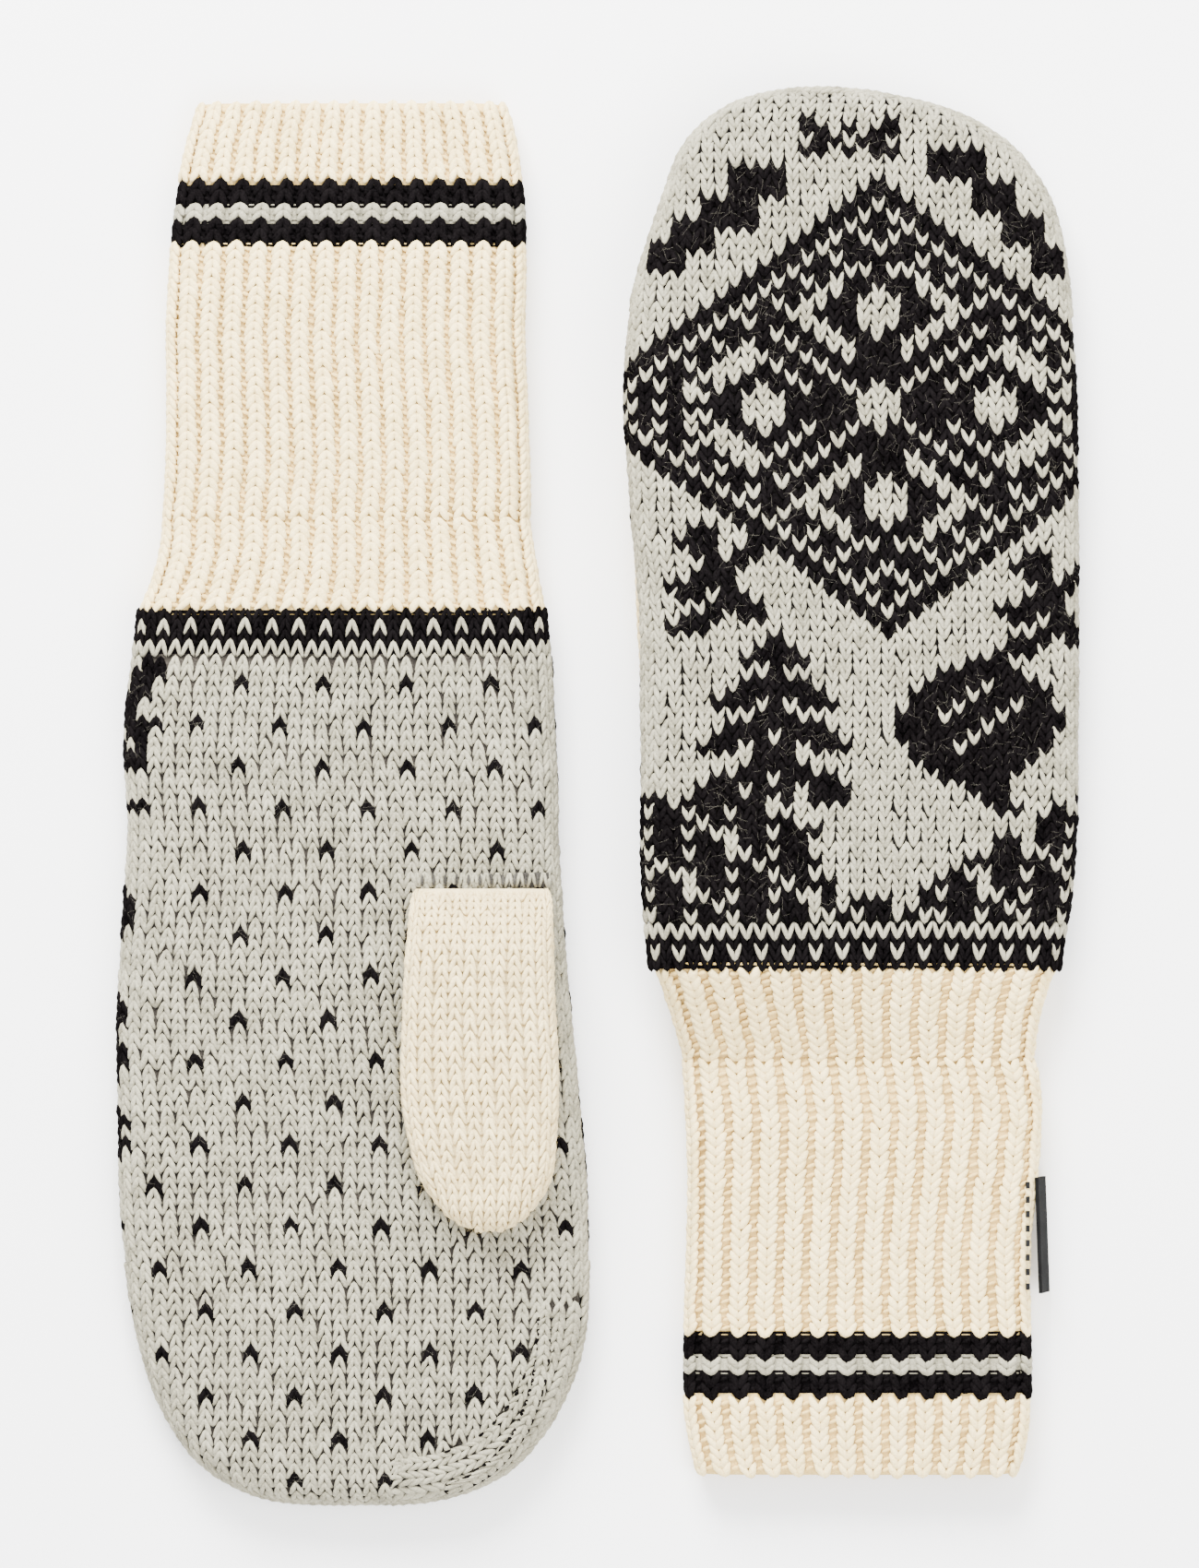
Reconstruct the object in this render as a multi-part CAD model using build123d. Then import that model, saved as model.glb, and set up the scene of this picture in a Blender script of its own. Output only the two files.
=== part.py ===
from build123d import *
import math
import os

# A pair of hand-knitted mittens lying flat, side by side, in millimetres. +Z is up and the floor is
# z = 0. The left mitten lies palm up with its fingertips towards -Y and its thumb on its palm. The
# right mitten lies back up with its fingertips towards +Y, on top of its own thumb. Each hand is a
# hollow pillow of two knitted layers, each cuff a ribbed tube, and each thumb a closed tube of its own.

# ---- Driving dimensions -------------------------------------------------------------------------

HAND_THICK = 14.0       # a hand lying flat: both layers and the air between them
CUFF_THICK = 12.0       # a cuff lying flat
HEM_THICK = 10.4        # the cuff's mouth, where the hem draws in
KNIT = 2.2              # stranded knitting
RIB = 2.6               # ribbing
FLOATS = 0.5            # yarn carried across the inside of the hand
GAP = 0.05              # between neighbouring knitted pieces of one body
CLEAR = 0.3             # between pieces that move apart
EDGE_FLAT = 0.4         # half the upright band left between the two rounded edges of a layer

BAND = 9.4              # the patterned rounds at the wrist
WRIST_RIB = 20.0        # the part of the ribbing that draws in and folds
CUFF_RIB = 59.3
DARK_STRIPE = 5.0
LIGHT_STRIPE = 3.4
HEM = 16.9
CUFF_LENGTH = WRIST_RIB + CUFF_RIB + 2 * DARK_STRIPE + LIGHT_STRIPE + HEM

LEFT_THUMB_THICK = 11.0
RIGHT_THUMB_THICK = 8.6  # flattened under the hand
LEFT_THUMB_WALL = 2.2
RIGHT_THUMB_WALL = 1.9
THUMB_SLIT = (25.0, 7.0)  # the opening in the palm that the thumb is knitted from
JOIN_ROW = (29.0, 3.4, 0.9)  # width, length and depth of the joining row, flush with the palm
SEAM_WIDTH = 2.6        # the decrease line at the fingertips
SEAM_HEIGHT = 0.7
RIGHT_TILT = 8.7        # degrees: the right hand leans over its thumb, thumb side up

LABEL = (0.8, 25.0, 8.0)  # thickness, length along the cuff, and height
LABEL_SEWN_AT = (94.6, -94.6, 9.4)  # the middle of its sewn edge, on the right cuff's side
LABEL_LEAN = 14.0       # degrees, free edge outwards
LABEL_SKEW = 2.0        # degrees, in plan
LABEL_STITCHES = 8
LABEL_STITCH = (0.9, 1.4, 0.45)
LABEL_STITCHES_IN = 2.0  # how far in from the label the stitches lie, and how far above its edge
LABEL_STITCHES_UP = 1.6

ARC_SHARE = 0.45        # of the shorter run, taken up by the arc at an outline's corner
RUN_OUT = 16.0          # how far a pillow is drawn past its open end before it is trimmed
FAR = 400.0             # larger than the pair


# ---- Where each mitten lies, and its outlines seen from above -----------------------------------

LEFT_WRIST = 39.8       # Y of the line between the band and the ribbing
RIGHT_WRIST = -36.2

# From the little-finger side of the wrist round the fingertips to the thumb side.
LEFT_HAND = [
    (-99.4, 39.8 + RUN_OUT), (-99.2, 39.8), (-101.6, 22.5), (-102.0, 8.0), (-100.9, -12.0),
    (-103.6, -38.0), (-103.3, -70.0), (-102.8, -92.0), (-100.2, -113.0), (-95.2, -130.5),
    (-86.5, -144.0), (-73.0, -151.4), (-53.0, -152.7), (-33.0, -151.6), (-19.0, -145.5),
    (-9.2, -133.5), (-3.7, -119.5), (-2.4, -103.0), (-3.0, -79.5), (-6.0, -50.0),
    (-8.6, -19.0), (-9.6, 10.0), (-10.2, 28.0), (-11.6, 39.8), (-11.9, 39.8 + RUN_OUT),
]
RIGHT_HAND = [
    (99.0, -36.2 - RUN_OUT), (99.3, -36.2), (102.4, -20.0), (103.2, 10.0), (103.4, 50.0),
    (103.0, 84.0), (101.2, 112.0), (97.4, 129.5), (89.4, 140.5), (76.0, 148.2), (60.0, 151.8),
    (44.0, 152.7), (29.0, 149.6), (18.4, 140.8), (12.6, 124.0), (7.2, 107.0), (5.7, 84.0),
    (7.8, 60.0), (9.6, 36.0), (9.8, 0.0), (9.8, -24.0), (11.2, -36.2), (11.5, -36.2 - RUN_OUT),
]

# Distance from the wrist line towards the hem, then the two edges.
LEFT_CUFF = [
    (0.0, -99.2, -11.6), (10.0, -95.4, -13.6), (20.0, -94.1, -15.4), (50.0, -93.0, -15.8),
    (82.0, -92.0, -16.2), (98.0, -89.6, -17.4), (CUFF_LENGTH, -86.6, -20.4),
]
RIGHT_CUFF = [
    (0.0, 11.2, 99.3), (10.0, 15.4, 95.4), (20.0, 18.2, 93.8), (50.0, 19.5, 94.3),
    (82.0, 18.4, 93.2), (98.0, 18.9, 93.0), (CUFF_LENGTH, 21.2, 90.4),
]

# The left thumb, from its base round its tip and back.
LEFT_THUMB_BASE = -19.6
LEFT_THUMB = [
    (-39.6, LEFT_THUMB_BASE + RUN_OUT), (-39.8, LEFT_THUMB_BASE), (-41.6, -44.0), (-42.2, -64.0),
    (-38.6, -82.0), (-31.6, -91.0), (-23.8, -93.8), (-16.2, -91.2), (-10.0, -82.0), (-8.8, -64.0),
    (-9.6, -44.0), (-10.6, LEFT_THUMB_BASE), (-10.8, LEFT_THUMB_BASE + RUN_OUT),
]
THUMB_TURN = (-1.0, 2.6)  # the right thumb is the left one turned half round about half of this

# The decrease line: it starts at the thumb side's corner and runs in towards the tip.
LEFT_SEAM = [(-11.6, -112.0), (-13.4, -128.0), (-18.6, -139.5), (-33.0, -149.0)]
RIGHT_SEAM = [(15.4, 110.0), (19.8, 128.0), (27.0, 140.0), (40.0, 148.6)]


# ---- Shapes -------------------------------------------------------------------------------------

def inset_outline(points, inset):
    """The outline's corners and arc radii, drawn in by inset. Each arc keeps its centre.

    Outlines run anticlockwise, so the inside is on the left of each run.
    """
    corners = [Vector(*point) for point in points]
    runs = [after - before for before, after in zip(corners, corners[1:])]
    inward = [Vector(-run.Y, run.X).normalized() for run in runs]
    moved = [corners[0] + inward[0] * inset]
    radii = []
    for i, corner in enumerate(corners[1:-1]):
        before, after = inward[i], inward[i + 1]
        moved.append(corner + (before + after) * (inset / (1 + before.dot(after))))
        half_turn = math.radians(runs[i].get_angle(runs[i + 1])) / 2
        radius = ARC_SHARE * min(runs[i].length, runs[i + 1].length) / math.tan(half_turn)
        turns_in = runs[i].cross(runs[i + 1]).Z > 0
        radii.append(radius - inset if turns_in else radius + inset)
    moved.append(corners[-1] + inward[-1] * inset)
    return moved, radii


def plan(points, inset):
    """The outline as a face, drawn in by inset and closed straight across its open end."""
    corners, radii = inset_outline(points, inset)
    side = FilletPolyline(*corners, radius=radii)
    return make_face(Curve() + [side, Line(side @ 1, side @ 0)])


def half_pillow(points, inset, height):
    """One layer's block above the middle plane, with its upper edge rounded."""
    block = extrude(plan(points, inset), height)
    open_end = points[0][1]
    rim = block.edges().group_by(Axis.Z)[-1]
    rim = rim.filter_by(lambda edge: abs(edge.center().Y - open_end) > 1)
    return fillet(rim, height - EDGE_FLAT)


def half_shell(points, thick, depth, wall):
    """The upper layer of a pillow: it starts depth under the pillow's surface."""
    outer = half_pillow(points, depth, thick / 2 - depth)
    inner = half_pillow(points, depth + wall, thick / 2 - depth - wall)
    return outer - inner


def slab(y_a, y_b):
    """All the space between two Y values."""
    return Pos(0, (y_a + y_b) / 2, 0) * Box(FAR, abs(y_b - y_a), FAR)


def stadium(y, x_low, x_high, thick, inset):
    """A flat tube's section across Y, drawn in by inset, with its middle at z = 0."""
    plane = Plane(origin=((x_low + x_high) / 2, y, 0), x_dir=(1, 0, 0), z_dir=(0, 1, 0))
    return plane * SlotOverall(x_high - x_low - 2 * inset, thick - 2 * inset)


# ---- One mitten ---------------------------------------------------------------------------------

def hand_layers(points, wrist, towards_tip, flip):
    """The layer and its floats on one side of the hand, and that side's half of the wrist band."""
    band_end = wrist + towards_tip * BAND
    hand = slab(band_end + towards_tip * GAP, towards_tip * FAR)
    band = slab(wrist, band_end)
    knit = half_shell(points, HAND_THICK, 0, KNIT)
    floats = half_shell(points, HAND_THICK, KNIT + GAP, FLOATS)
    middle = Pos(0, 0, GAP / 2)
    layers = [middle * (knit & hand), middle * (floats & hand), knit & band]
    return [mirror(layer, Plane.XY) for layer in layers] if flip else layers


def tip_seam(points, seam, flip):
    """The decrease line: a low ridge on the hand's surface, along the seam's curve."""
    skin = half_pillow(points, 0, HAND_THICK / 2)
    curve = Spline(*seam)
    ribbon = sweep(Plane(origin=curve @ 0, z_dir=curve % 0) * Rectangle(SEAM_WIDTH, SEAM_WIDTH), curve)
    column = extrude(ribbon.faces().sort_by(Axis.Z)[0], FAR, dir=(0, 0, 1))
    ridge = column & (Pos(0, 0, SEAM_HEIGHT) * skin - Pos(0, 0, GAP) * skin)
    return mirror(ridge, Plane.XY) if flip else ridge


def flat_tube(makers, wall):
    """A loft through a list of section makers: the outer tube less the inner one."""
    outer = loft([make(0) for make in makers])
    inner = loft([make(wall) for make in makers])
    return outer - inner


def cuff_sections(stations, wrist, towards_tip, place):
    """A maker of each section, from the wrist line to the hem. The hand's lean fades out on the way."""
    makers = []
    for distance, x_low, x_high in stations:
        share = min(1, distance / WRIST_RIB)
        near_hem = max(0, (distance - CUFF_LENGTH + HEM) / HEM)
        thick = HAND_THICK + (CUFF_THICK - HAND_THICK) * share
        thick += (HEM_THICK - CUFF_THICK) * near_hem
        y = wrist - towards_tip * distance

        def make(inset, y=y, x_low=x_low, x_high=x_high, thick=thick, lean=1 - share):
            return place(thick, lean) * stadium(y, x_low, x_high, thick, inset)

        makers.append(make)
    return makers


def cuff_pieces(stations, wrist, towards_tip, place):
    """The ribbing, its stripes and the hem, cut from two flat tubes that share a section."""
    makers = cuff_sections(stations, wrist, towards_tip, place)
    wrist_tube = flat_tube(makers[:3], RIB)
    cuff_tube = flat_tube(makers[2:], RIB)
    lengths = [
        ("wrist_rib", WRIST_RIB, wrist_tube), ("cuff_rib", CUFF_RIB, cuff_tube),
        ("cuff_stripe_inner", DARK_STRIPE, cuff_tube), ("cuff_stripe_light", LIGHT_STRIPE, cuff_tube),
        ("cuff_stripe_outer", DARK_STRIPE, cuff_tube), ("cuff_hem", HEM + GAP, cuff_tube),
    ]
    pieces = {}
    start = 0.0
    for name, length, tube in lengths:
        far_end = wrist - towards_tip * (start + length - GAP)
        pieces[name] = tube & slab(wrist - towards_tip * (start + GAP), far_end)
        start += length
    return pieces


def thumb_slit(thumb_x, base, towards_tip):
    """The upright cutter of the opening that leads from the palm into the thumb."""
    return Pos(thumb_x, base + towards_tip * THUMB_SLIT[1] / 2, 0) * Box(*THUMB_SLIT, FAR)


def half_space(side):
    """All the space above the middle plane, or below it."""
    return Pos(0, 0, side * FAR / 2) * Box(FAR, FAR, FAR)


def thumb_tube(points, thick, wall, base, towards_tip, palm_side):
    """A closed tube, open at its base and over the slit in the palm."""
    upper = half_shell(points, thick, 0, wall)
    tube = (upper + mirror(upper, Plane.XY)) & slab(base, base + towards_tip * FAR)
    slit = thumb_slit((points[1][0] + points[-2][0]) / 2, base, towards_tip)
    return tube - (slit & half_space(palm_side))


def one_solid(shape):
    """The shape as a single clean solid."""
    solids = shape.solids()
    return solids[0] if len(solids) == 1 else Compound(solids)


def mitten(points, wrist, towards_tip, palm_up, place, stations, seam, base, thumb_x):
    """Every piece of a mitten but its thumb. place(thick, lean) sets a middle plane over the floor."""
    top = hand_layers(points, wrist, towards_tip, False)
    bottom = hand_layers(points, wrist, towards_tip, True)
    palm, back = (top, bottom) if palm_up else (bottom, top)
    side = 1 if palm_up else -1
    slit = thumb_slit(thumb_x, base, towards_tip) & half_space(side)
    row_y = base - towards_tip * (JOIN_ROW[1] / 2 + GAP)
    row = Pos(thumb_x, row_y, side * (HAND_THICK + GAP - JOIN_ROW[2]) / 2) * Box(*JOIN_ROW)
    hand = {
        "palm": palm[0] - slit - offset(row, GAP),
        "palm_floats": palm[1] - slit,
        "back": back[0],
        "back_floats": back[1],
        "wrist_band": top[2] + bottom[2],
        "thumb_join": row,
        "tip_seam": tip_seam(points, seam, not palm_up),
    }
    set_down = place(HAND_THICK + GAP, 1)
    pieces = {name: set_down * shape for name, shape in hand.items()}
    pieces.update(cuff_pieces(stations, wrist, towards_tip, place))
    return pieces


def leaned(points, pivot_x):
    """An outline stretched across X so that it keeps its width seen from above once it is leaned."""
    stretch = 1 / math.cos(math.radians(RIGHT_TILT))
    return [(pivot_x + (x - pivot_x) * stretch, y) for x, y in points]


def turned(points):
    """An outline turned half round."""
    return [(THUMB_TURN[0] - x, THUMB_TURN[1] - y) for x, y in points]


# ---- The pair -----------------------------------------------------------------------------------

def left_mitten():
    thumb_x = (LEFT_THUMB[1][0] + LEFT_THUMB[-2][0]) / 2

    def flat(thick, lean):
        return Pos(0, 0, thick / 2)

    pieces = mitten(
        LEFT_HAND, LEFT_WRIST, -1, True, flat, LEFT_CUFF, LEFT_SEAM, LEFT_THUMB_BASE, thumb_x
    )
    thumb = thumb_tube(LEFT_THUMB, LEFT_THUMB_THICK, LEFT_THUMB_WALL, LEFT_THUMB_BASE, -1, -1)
    pieces["thumb"] = Pos(0, 0, HAND_THICK + GAP + CLEAR + LEFT_THUMB_THICK / 2) * thumb
    return pieces


def right_mitten():
    base = THUMB_TURN[1] - LEFT_THUMB_BASE
    thumb_x = THUMB_TURN[0] - (LEFT_THUMB[1][0] + LEFT_THUMB[-2][0]) / 2
    widest = max(x for x, y in RIGHT_HAND)
    pivot_x = widest - HAND_THICK / 2

    def leaning(thick, lean):
        lowest = thick / 2 + EDGE_FLAT * math.sin(math.radians(RIGHT_TILT * lean))
        return Pos(pivot_x, 0, lowest) * Rot(0, RIGHT_TILT * lean, 0) * Pos(-pivot_x, 0, 0)

    pieces = mitten(
        leaned(RIGHT_HAND, pivot_x), RIGHT_WRIST, 1, False, leaning, RIGHT_CUFF,
        leaned(RIGHT_SEAM, pivot_x), base, thumb_x,
    )
    outline = turned(LEFT_THUMB)
    thumb = thumb_tube(outline, RIGHT_THUMB_THICK, RIGHT_THUMB_WALL, base, 1, 1)
    pieces["thumb"] = Pos(0, 0, RIGHT_THUMB_THICK / 2) * thumb
    return pieces


def label_pieces():
    """The side label, which hangs from its sewn edge, and the stitches along that edge."""
    x, y, z = LABEL_SEWN_AT
    hang = Rot(0, 0, LABEL_SKEW) * Rot(0, -LABEL_LEAN, 0)
    tab = Pos(x, y, z) * hang * Pos(LABEL[0] / 2, 0, -LABEL[2] / 2) * Box(*LABEL)
    pitch = LABEL[1] / LABEL_STITCHES
    first = y - pitch * (LABEL_STITCHES - 1) / 2
    row = [
        Pos(x - LABEL_STITCHES_IN, first + pitch * i, z + LABEL_STITCHES_UP) * Box(*LABEL_STITCH)
        for i in range(LABEL_STITCHES)
    ]
    return {"label": tab, "label_stitches": Compound([stitch.solid() for stitch in row])}


def write(name, shape):
    export_step(shape, f"parts/{name}.step")


os.makedirs("parts", exist_ok=True)
for piece, shape in left_mitten().items():
    write(f"left_{piece}", one_solid(shape))
for piece, shape in right_mitten().items():
    write(f"right_{piece}", one_solid(shape))
for piece, shape in label_pieces().items():
    write(f"right_{piece}", shape)
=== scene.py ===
import math

import bmesh
import bpy
import numpy as np
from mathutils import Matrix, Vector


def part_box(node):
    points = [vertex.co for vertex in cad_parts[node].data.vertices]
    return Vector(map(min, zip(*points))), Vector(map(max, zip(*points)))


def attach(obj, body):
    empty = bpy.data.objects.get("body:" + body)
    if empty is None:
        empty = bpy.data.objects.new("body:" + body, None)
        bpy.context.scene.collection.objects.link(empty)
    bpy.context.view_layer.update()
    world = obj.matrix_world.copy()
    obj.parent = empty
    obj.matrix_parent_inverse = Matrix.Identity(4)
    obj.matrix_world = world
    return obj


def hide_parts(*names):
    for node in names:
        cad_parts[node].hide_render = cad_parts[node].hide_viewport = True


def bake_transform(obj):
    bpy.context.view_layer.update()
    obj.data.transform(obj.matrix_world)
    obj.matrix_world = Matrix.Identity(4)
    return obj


# A pair of knitted mittens. A stitch is shaped once, as a V of two tapered legs of yarn, and each
# knitted piece is made of copies of it, laid in columns and rows on the faces that the frame gives.
# A chart says which yarn each stitch is knitted in. Rows run from the wrist to the fingertips.

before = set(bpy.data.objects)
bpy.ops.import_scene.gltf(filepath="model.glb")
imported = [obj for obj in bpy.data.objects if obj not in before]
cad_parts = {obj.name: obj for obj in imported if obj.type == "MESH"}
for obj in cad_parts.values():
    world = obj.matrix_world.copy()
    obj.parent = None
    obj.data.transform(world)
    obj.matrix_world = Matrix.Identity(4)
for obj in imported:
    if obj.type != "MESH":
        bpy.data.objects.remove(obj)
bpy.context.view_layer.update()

MM = 0.001
NONE, LIGHT, DARK = -1, 0, 1    # the yarns in a chart
HAND_ROW = 2.27                 # the height of one row, in millimetres
BAND_ROW = 2.35
RIB_ROW = 2.0
THUMB_ROW = 2.3
JOIN_ROW = 3.4
HAND_COLUMNS = 33               # stitches across one face
THUMB_COLUMNS = 12
HAND_NARROWS = 0.72             # the share of a hand's length where its sides begin to close
THUMB_NARROWS = 0.86
THUMB_SLOPE = 14.0              # how far the thumb's base slopes up from the palm
THUMB_CORNER = 3.5              # how far up its base's corners are rounded
THUMB_BEND = 15.4               # how much of its base would bend when it lifts; no bend is made
WEFT = 96                       # samples across a knitted face
RIM_POINTS = 120                # samples along the rim of the fingertips
STRIP = 9.4                     # the strip of stitches that follows the fingertips' edge
STRIP_CLEARS = slice(20, -16)   # the part of the rim where it takes the place of the palm
STRIP_RUNS = slice(6, None)     # and the part that it is knitted on
RIM_BANDS = ((-0.7, 2.6), (0.25, 1.0), (0.25, -1.0), (-0.7, -2.6))  # out from the rim, and up
LINING_DEPTH, LINING_THICK = 0.75, 0.5
CARRIED_THICK = 0.6
HAND_FIBRES = 4200
THUMB_FIBRES = 2200
rng = np.random.default_rng(7)


# ---- Materials ----------------------------------------------------------------------------------

class Sock:
    """A socket that takes part in sums: each operator adds a Math node."""

    def __init__(self, maker, socket):
        self.maker, self.socket = maker, socket

    def math(self, operation, a, b):
        return self.maker.node("ShaderNodeMath", {"operation": operation}, {0: a, 1: b})

    def __add__(self, other):
        return self.math("ADD", self, other)

    def __mul__(self, other):
        return self.math("MULTIPLY", self, other)

    __radd__ = __add__
    __rmul__ = __mul__

    def __sub__(self, other):
        return self.math("SUBTRACT", self, other)

    def __rsub__(self, other):
        return self.math("SUBTRACT", other, self)


class Finish:
    """A material being put together, with one method for every node."""

    def __init__(self, name):
        self.material = bpy.data.materials.new(name)
        self.material.use_nodes = True
        self.tree = self.material.node_tree
        self.shader = self.tree.nodes["Principled BSDF"]

    def node(self, kind, settings=None, inputs=None, output=0):
        made = self.tree.nodes.new(kind)
        for key, value in (settings or {}).items():
            setattr(made, key, value)
        for key, value in (inputs or {}).items():
            self.put(made.inputs[key], value)
        return Sock(self, made.outputs[output])

    def ramp(self, amount, start, start_colour, end, end_colour):
        """A colour that goes from one to the other as the amount goes from start to end."""
        made = self.node("ShaderNodeValToRGB", {}, {0: amount})
        stops = made.socket.node.color_ramp.elements
        stops[0].position, stops[0].color = start, (*start_colour, 1.0)
        stops[1].position, stops[1].color = end, (*end_colour, 1.0)
        return made

    def put(self, socket, value):
        if isinstance(value, Sock):
            self.tree.links.new(value.socket, socket)
        else:
            socket.default_value = value

    def surface(self, **values):
        for key, value in values.items():
            self.put(self.shader.inputs[key.replace("_", " ")], value)
        return self.material


def yarn(name, deep, full, sheen=0.1, gloss=0.06):
    """Spun wool: mottled along its length, with fine fibres in its relief."""
    f = Finish(name)
    place = f.node("ShaderNodeTexCoord", output=3)
    mottle = f.node("ShaderNodeTexNoise", {}, {"Vector": place, "Scale": 240.0, "Detail": 3.0})
    fibres = f.node("ShaderNodeTexNoise", {}, {"Vector": place, "Scale": 2400.0, "Detail": 2.0})
    colour = f.ramp(mottle * 0.5 + fibres * 0.5, 0.34, deep, 0.62, full)
    relief = f.node("ShaderNodeBump", {}, {"Strength": 0.35, "Distance": 0.0004, "Height": fibres})
    return f.surface(Base_Color=colour, Roughness=0.95, Normal=relief, Sheen_Weight=sheen,
                     Sheen_Roughness=0.5, Specular_IOR_Level=gloss)


def pale_floor():
    return Finish("pale floor").surface(Base_Color=(0.92, 0.92, 0.92, 1.0), Roughness=0.9,
                                        Specular_IOR_Level=0.1)


light_wool = yarn("light wool", (0.155, 0.143, 0.098), (0.335, 0.313, 0.230))
dark_wool = yarn("dark wool", (0.001, 0.0008, 0.0009), (0.005, 0.0042, 0.0044), 0.0, 0.0)
cream_wool = yarn("cream wool", (0.64, 0.49, 0.215), (0.88, 0.71, 0.37))
# A darker, more golden copy of the cream wool: painted shade deep between the ribs, on the purl
# bumps and the lining under them.
cream_wool_painted_shade = yarn("cream wool with painted shade deep in the ribs", (0.52, 0.35, 0.115), (0.74, 0.54, 0.21))
carried_wool = yarn("carried dark wool", (0.010, 0.009, 0.008), (0.050, 0.044, 0.037), 0.0, 0.0)
dark_carried_wool = yarn("dark wool behind the pattern", (0.002, 0.002, 0.002),
                         (0.010, 0.009, 0.008), 0.0, 0.0)
fibre_wool = yarn("loose wool fibres", (0.10, 0.092, 0.072), (0.22, 0.205, 0.165))
thumb_wool = yarn("soft cream wool", (0.52, 0.40, 0.195), (0.78, 0.64, 0.345))
label_tape = yarn("woven black tape", (0.002, 0.002, 0.002), (0.006, 0.006, 0.006), 0.0)
sewing_thread = yarn("black sewing thread", (0.004, 0.004, 0.004), (0.015, 0.015, 0.015), 0.0)
# Grey for the gaps of the thumb's join and for the sheet under its stitches: painted shade.
join_gap_painted_shade = yarn("grey painted shade in the gaps of the join", (0.016, 0.015, 0.013), (0.075, 0.070, 0.060), 0.0, 0.0)


# ---- One stitch, one purl bump, one fibre -------------------------------------------------------
# They are shaped with X across in columns, Y along in rows and Z up in millimetres.

def pick(piece, wanted):
    """Selects the points of the piece, in edit mode, whose place passes the test."""
    mesh = bmesh.from_edit_mesh(piece.data)
    for point in mesh.verts:
        point.select = bool(wanted(point.co))
    mesh.select_flush_mode()
    bmesh.update_edit_mesh(piece.data)


def grain(wide, long, high):
    """A grain of yarn along Y, pointed at both ends, open in edit mode."""
    bpy.ops.object.select_all(action="DESELECT")
    bpy.ops.mesh.primitive_uv_sphere_add(segments=6, ring_count=4, radius=1.0)
    piece = bpy.context.object
    bpy.ops.object.mode_set(mode="EDIT")
    bpy.ops.mesh.select_all(action="SELECT")
    bpy.ops.transform.rotate(value=math.pi / 2, orient_axis="X", center_override=(0, 0, 0))
    bpy.ops.transform.resize(value=(wide, long, high), center_override=(0, 0, 0))
    return piece


def finished(piece):
    """The points and faces of a shape. The piece itself is put away.

    The faces are sorted, since the operators leave them in another order on each run.
    """
    bpy.ops.object.mode_set(mode="OBJECT")
    points = np.array([v.co[:] for v in piece.data.vertices])
    faces = sorted(list(p.vertices) for p in piece.data.polygons)
    mesh = piece.data
    bpy.data.objects.remove(piece)
    bpy.data.meshes.remove(mesh)
    return points, faces


# A leg's length and how far its middle lies over the row below, in rows.
LEG_LONG, LEG_RISE = 0.93, 0.55
# How a leg bends: the points past a height move across and up.
LEG_BENDS = ((-0.3, -0.06, 0.10), (-0.8, -0.08, -0.12), (0.3, 0.07, -0.22), (0.8, 0.05, -0.45))


def model_stitch(width, thick, high, lean, dip):
    """A V of two legs. Its point lies over the row below, and its arms pass under the row above."""
    piece = grain(thick, LEG_LONG, high)
    for height, over, up in LEG_BENDS:
        pick(piece, lambda co: co.y / height > 1)
        bpy.ops.transform.translate(value=(over * width, 0, up * dip))
    bpy.ops.mesh.select_all(action="SELECT")
    bpy.ops.transform.rotate(value=lean, orient_axis="Z", center_override=(0, 0, 0))
    bpy.ops.transform.translate(value=(width / 4, LEG_RISE, 0))
    bpy.ops.mesh.duplicate()
    bpy.ops.transform.mirror(constraint_axis=(True, False, False), center_override=(0, 0, 0))
    bpy.ops.mesh.select_all(action="SELECT")
    bpy.ops.mesh.normals_make_consistent(inside=False)
    return finished(piece)


def model_slit():
    """A dark grain that stands for the gap between two drawn-up stitches, as painted shade."""
    return finished(grain(wide=0.16, long=0.42, high=0.35))


def model_purl():
    """A purl bump: a short slanting grain that lies deep between two ribs."""
    piece = grain(wide=0.16, long=0.34, high=0.55)
    bpy.ops.transform.rotate(value=0.5, orient_axis="Z", center_override=(0, 0, 0))
    return finished(piece)


def model_fibre():
    """A loose fibre: a thin ribbon, a millimetre long, that rises and bends over."""
    bpy.ops.object.select_all(action="DESELECT")
    bpy.ops.mesh.primitive_grid_add(x_subdivisions=1, y_subdivisions=3, size=1.0)
    piece = bpy.context.object
    bpy.ops.object.mode_set(mode="EDIT")
    bpy.ops.mesh.select_all(action="SELECT")
    bpy.ops.transform.resize(value=(0.014, 1, 1), center_override=(0, 0, 0))
    bpy.ops.transform.translate(value=(0, 0.5, 0))
    pick(piece, lambda co: co.y > 0.2)
    bpy.ops.transform.translate(value=(0.06, 0, 0.26))
    pick(piece, lambda co: co.y > 0.8)
    bpy.ops.transform.translate(value=(0.12, 0, 0.05))
    return finished(piece)


knit_v = model_stitch(width=0.92, thick=0.205, high=0.66, lean=0.155, dip=0.6)
left_rib_v = model_stitch(width=0.78, thick=0.205, high=0.75, lean=0.09, dip=0.4)
right_rib_v = model_stitch(width=0.66, thick=0.18, high=0.75, lean=0.08, dip=0.4)
dark_slit = model_slit()
purl_bump = model_purl()
loose_fibre = model_fibre()


# ---- The faces that the knitting lies on --------------------------------------------------------

def node_edges(names):
    """The two end points of every edge of the named nodes."""
    ends = []
    for name in names:
        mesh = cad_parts[name].data
        points = np.zeros(len(mesh.vertices) * 3)
        mesh.vertices.foreach_get("co", points)
        pairs = np.zeros(len(mesh.edges) * 2, int)
        mesh.edges.foreach_get("vertices", pairs)
        ends.append(points.reshape(-1, 3)[pairs.reshape(-1, 2)])
    return np.concatenate(ends)


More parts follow.
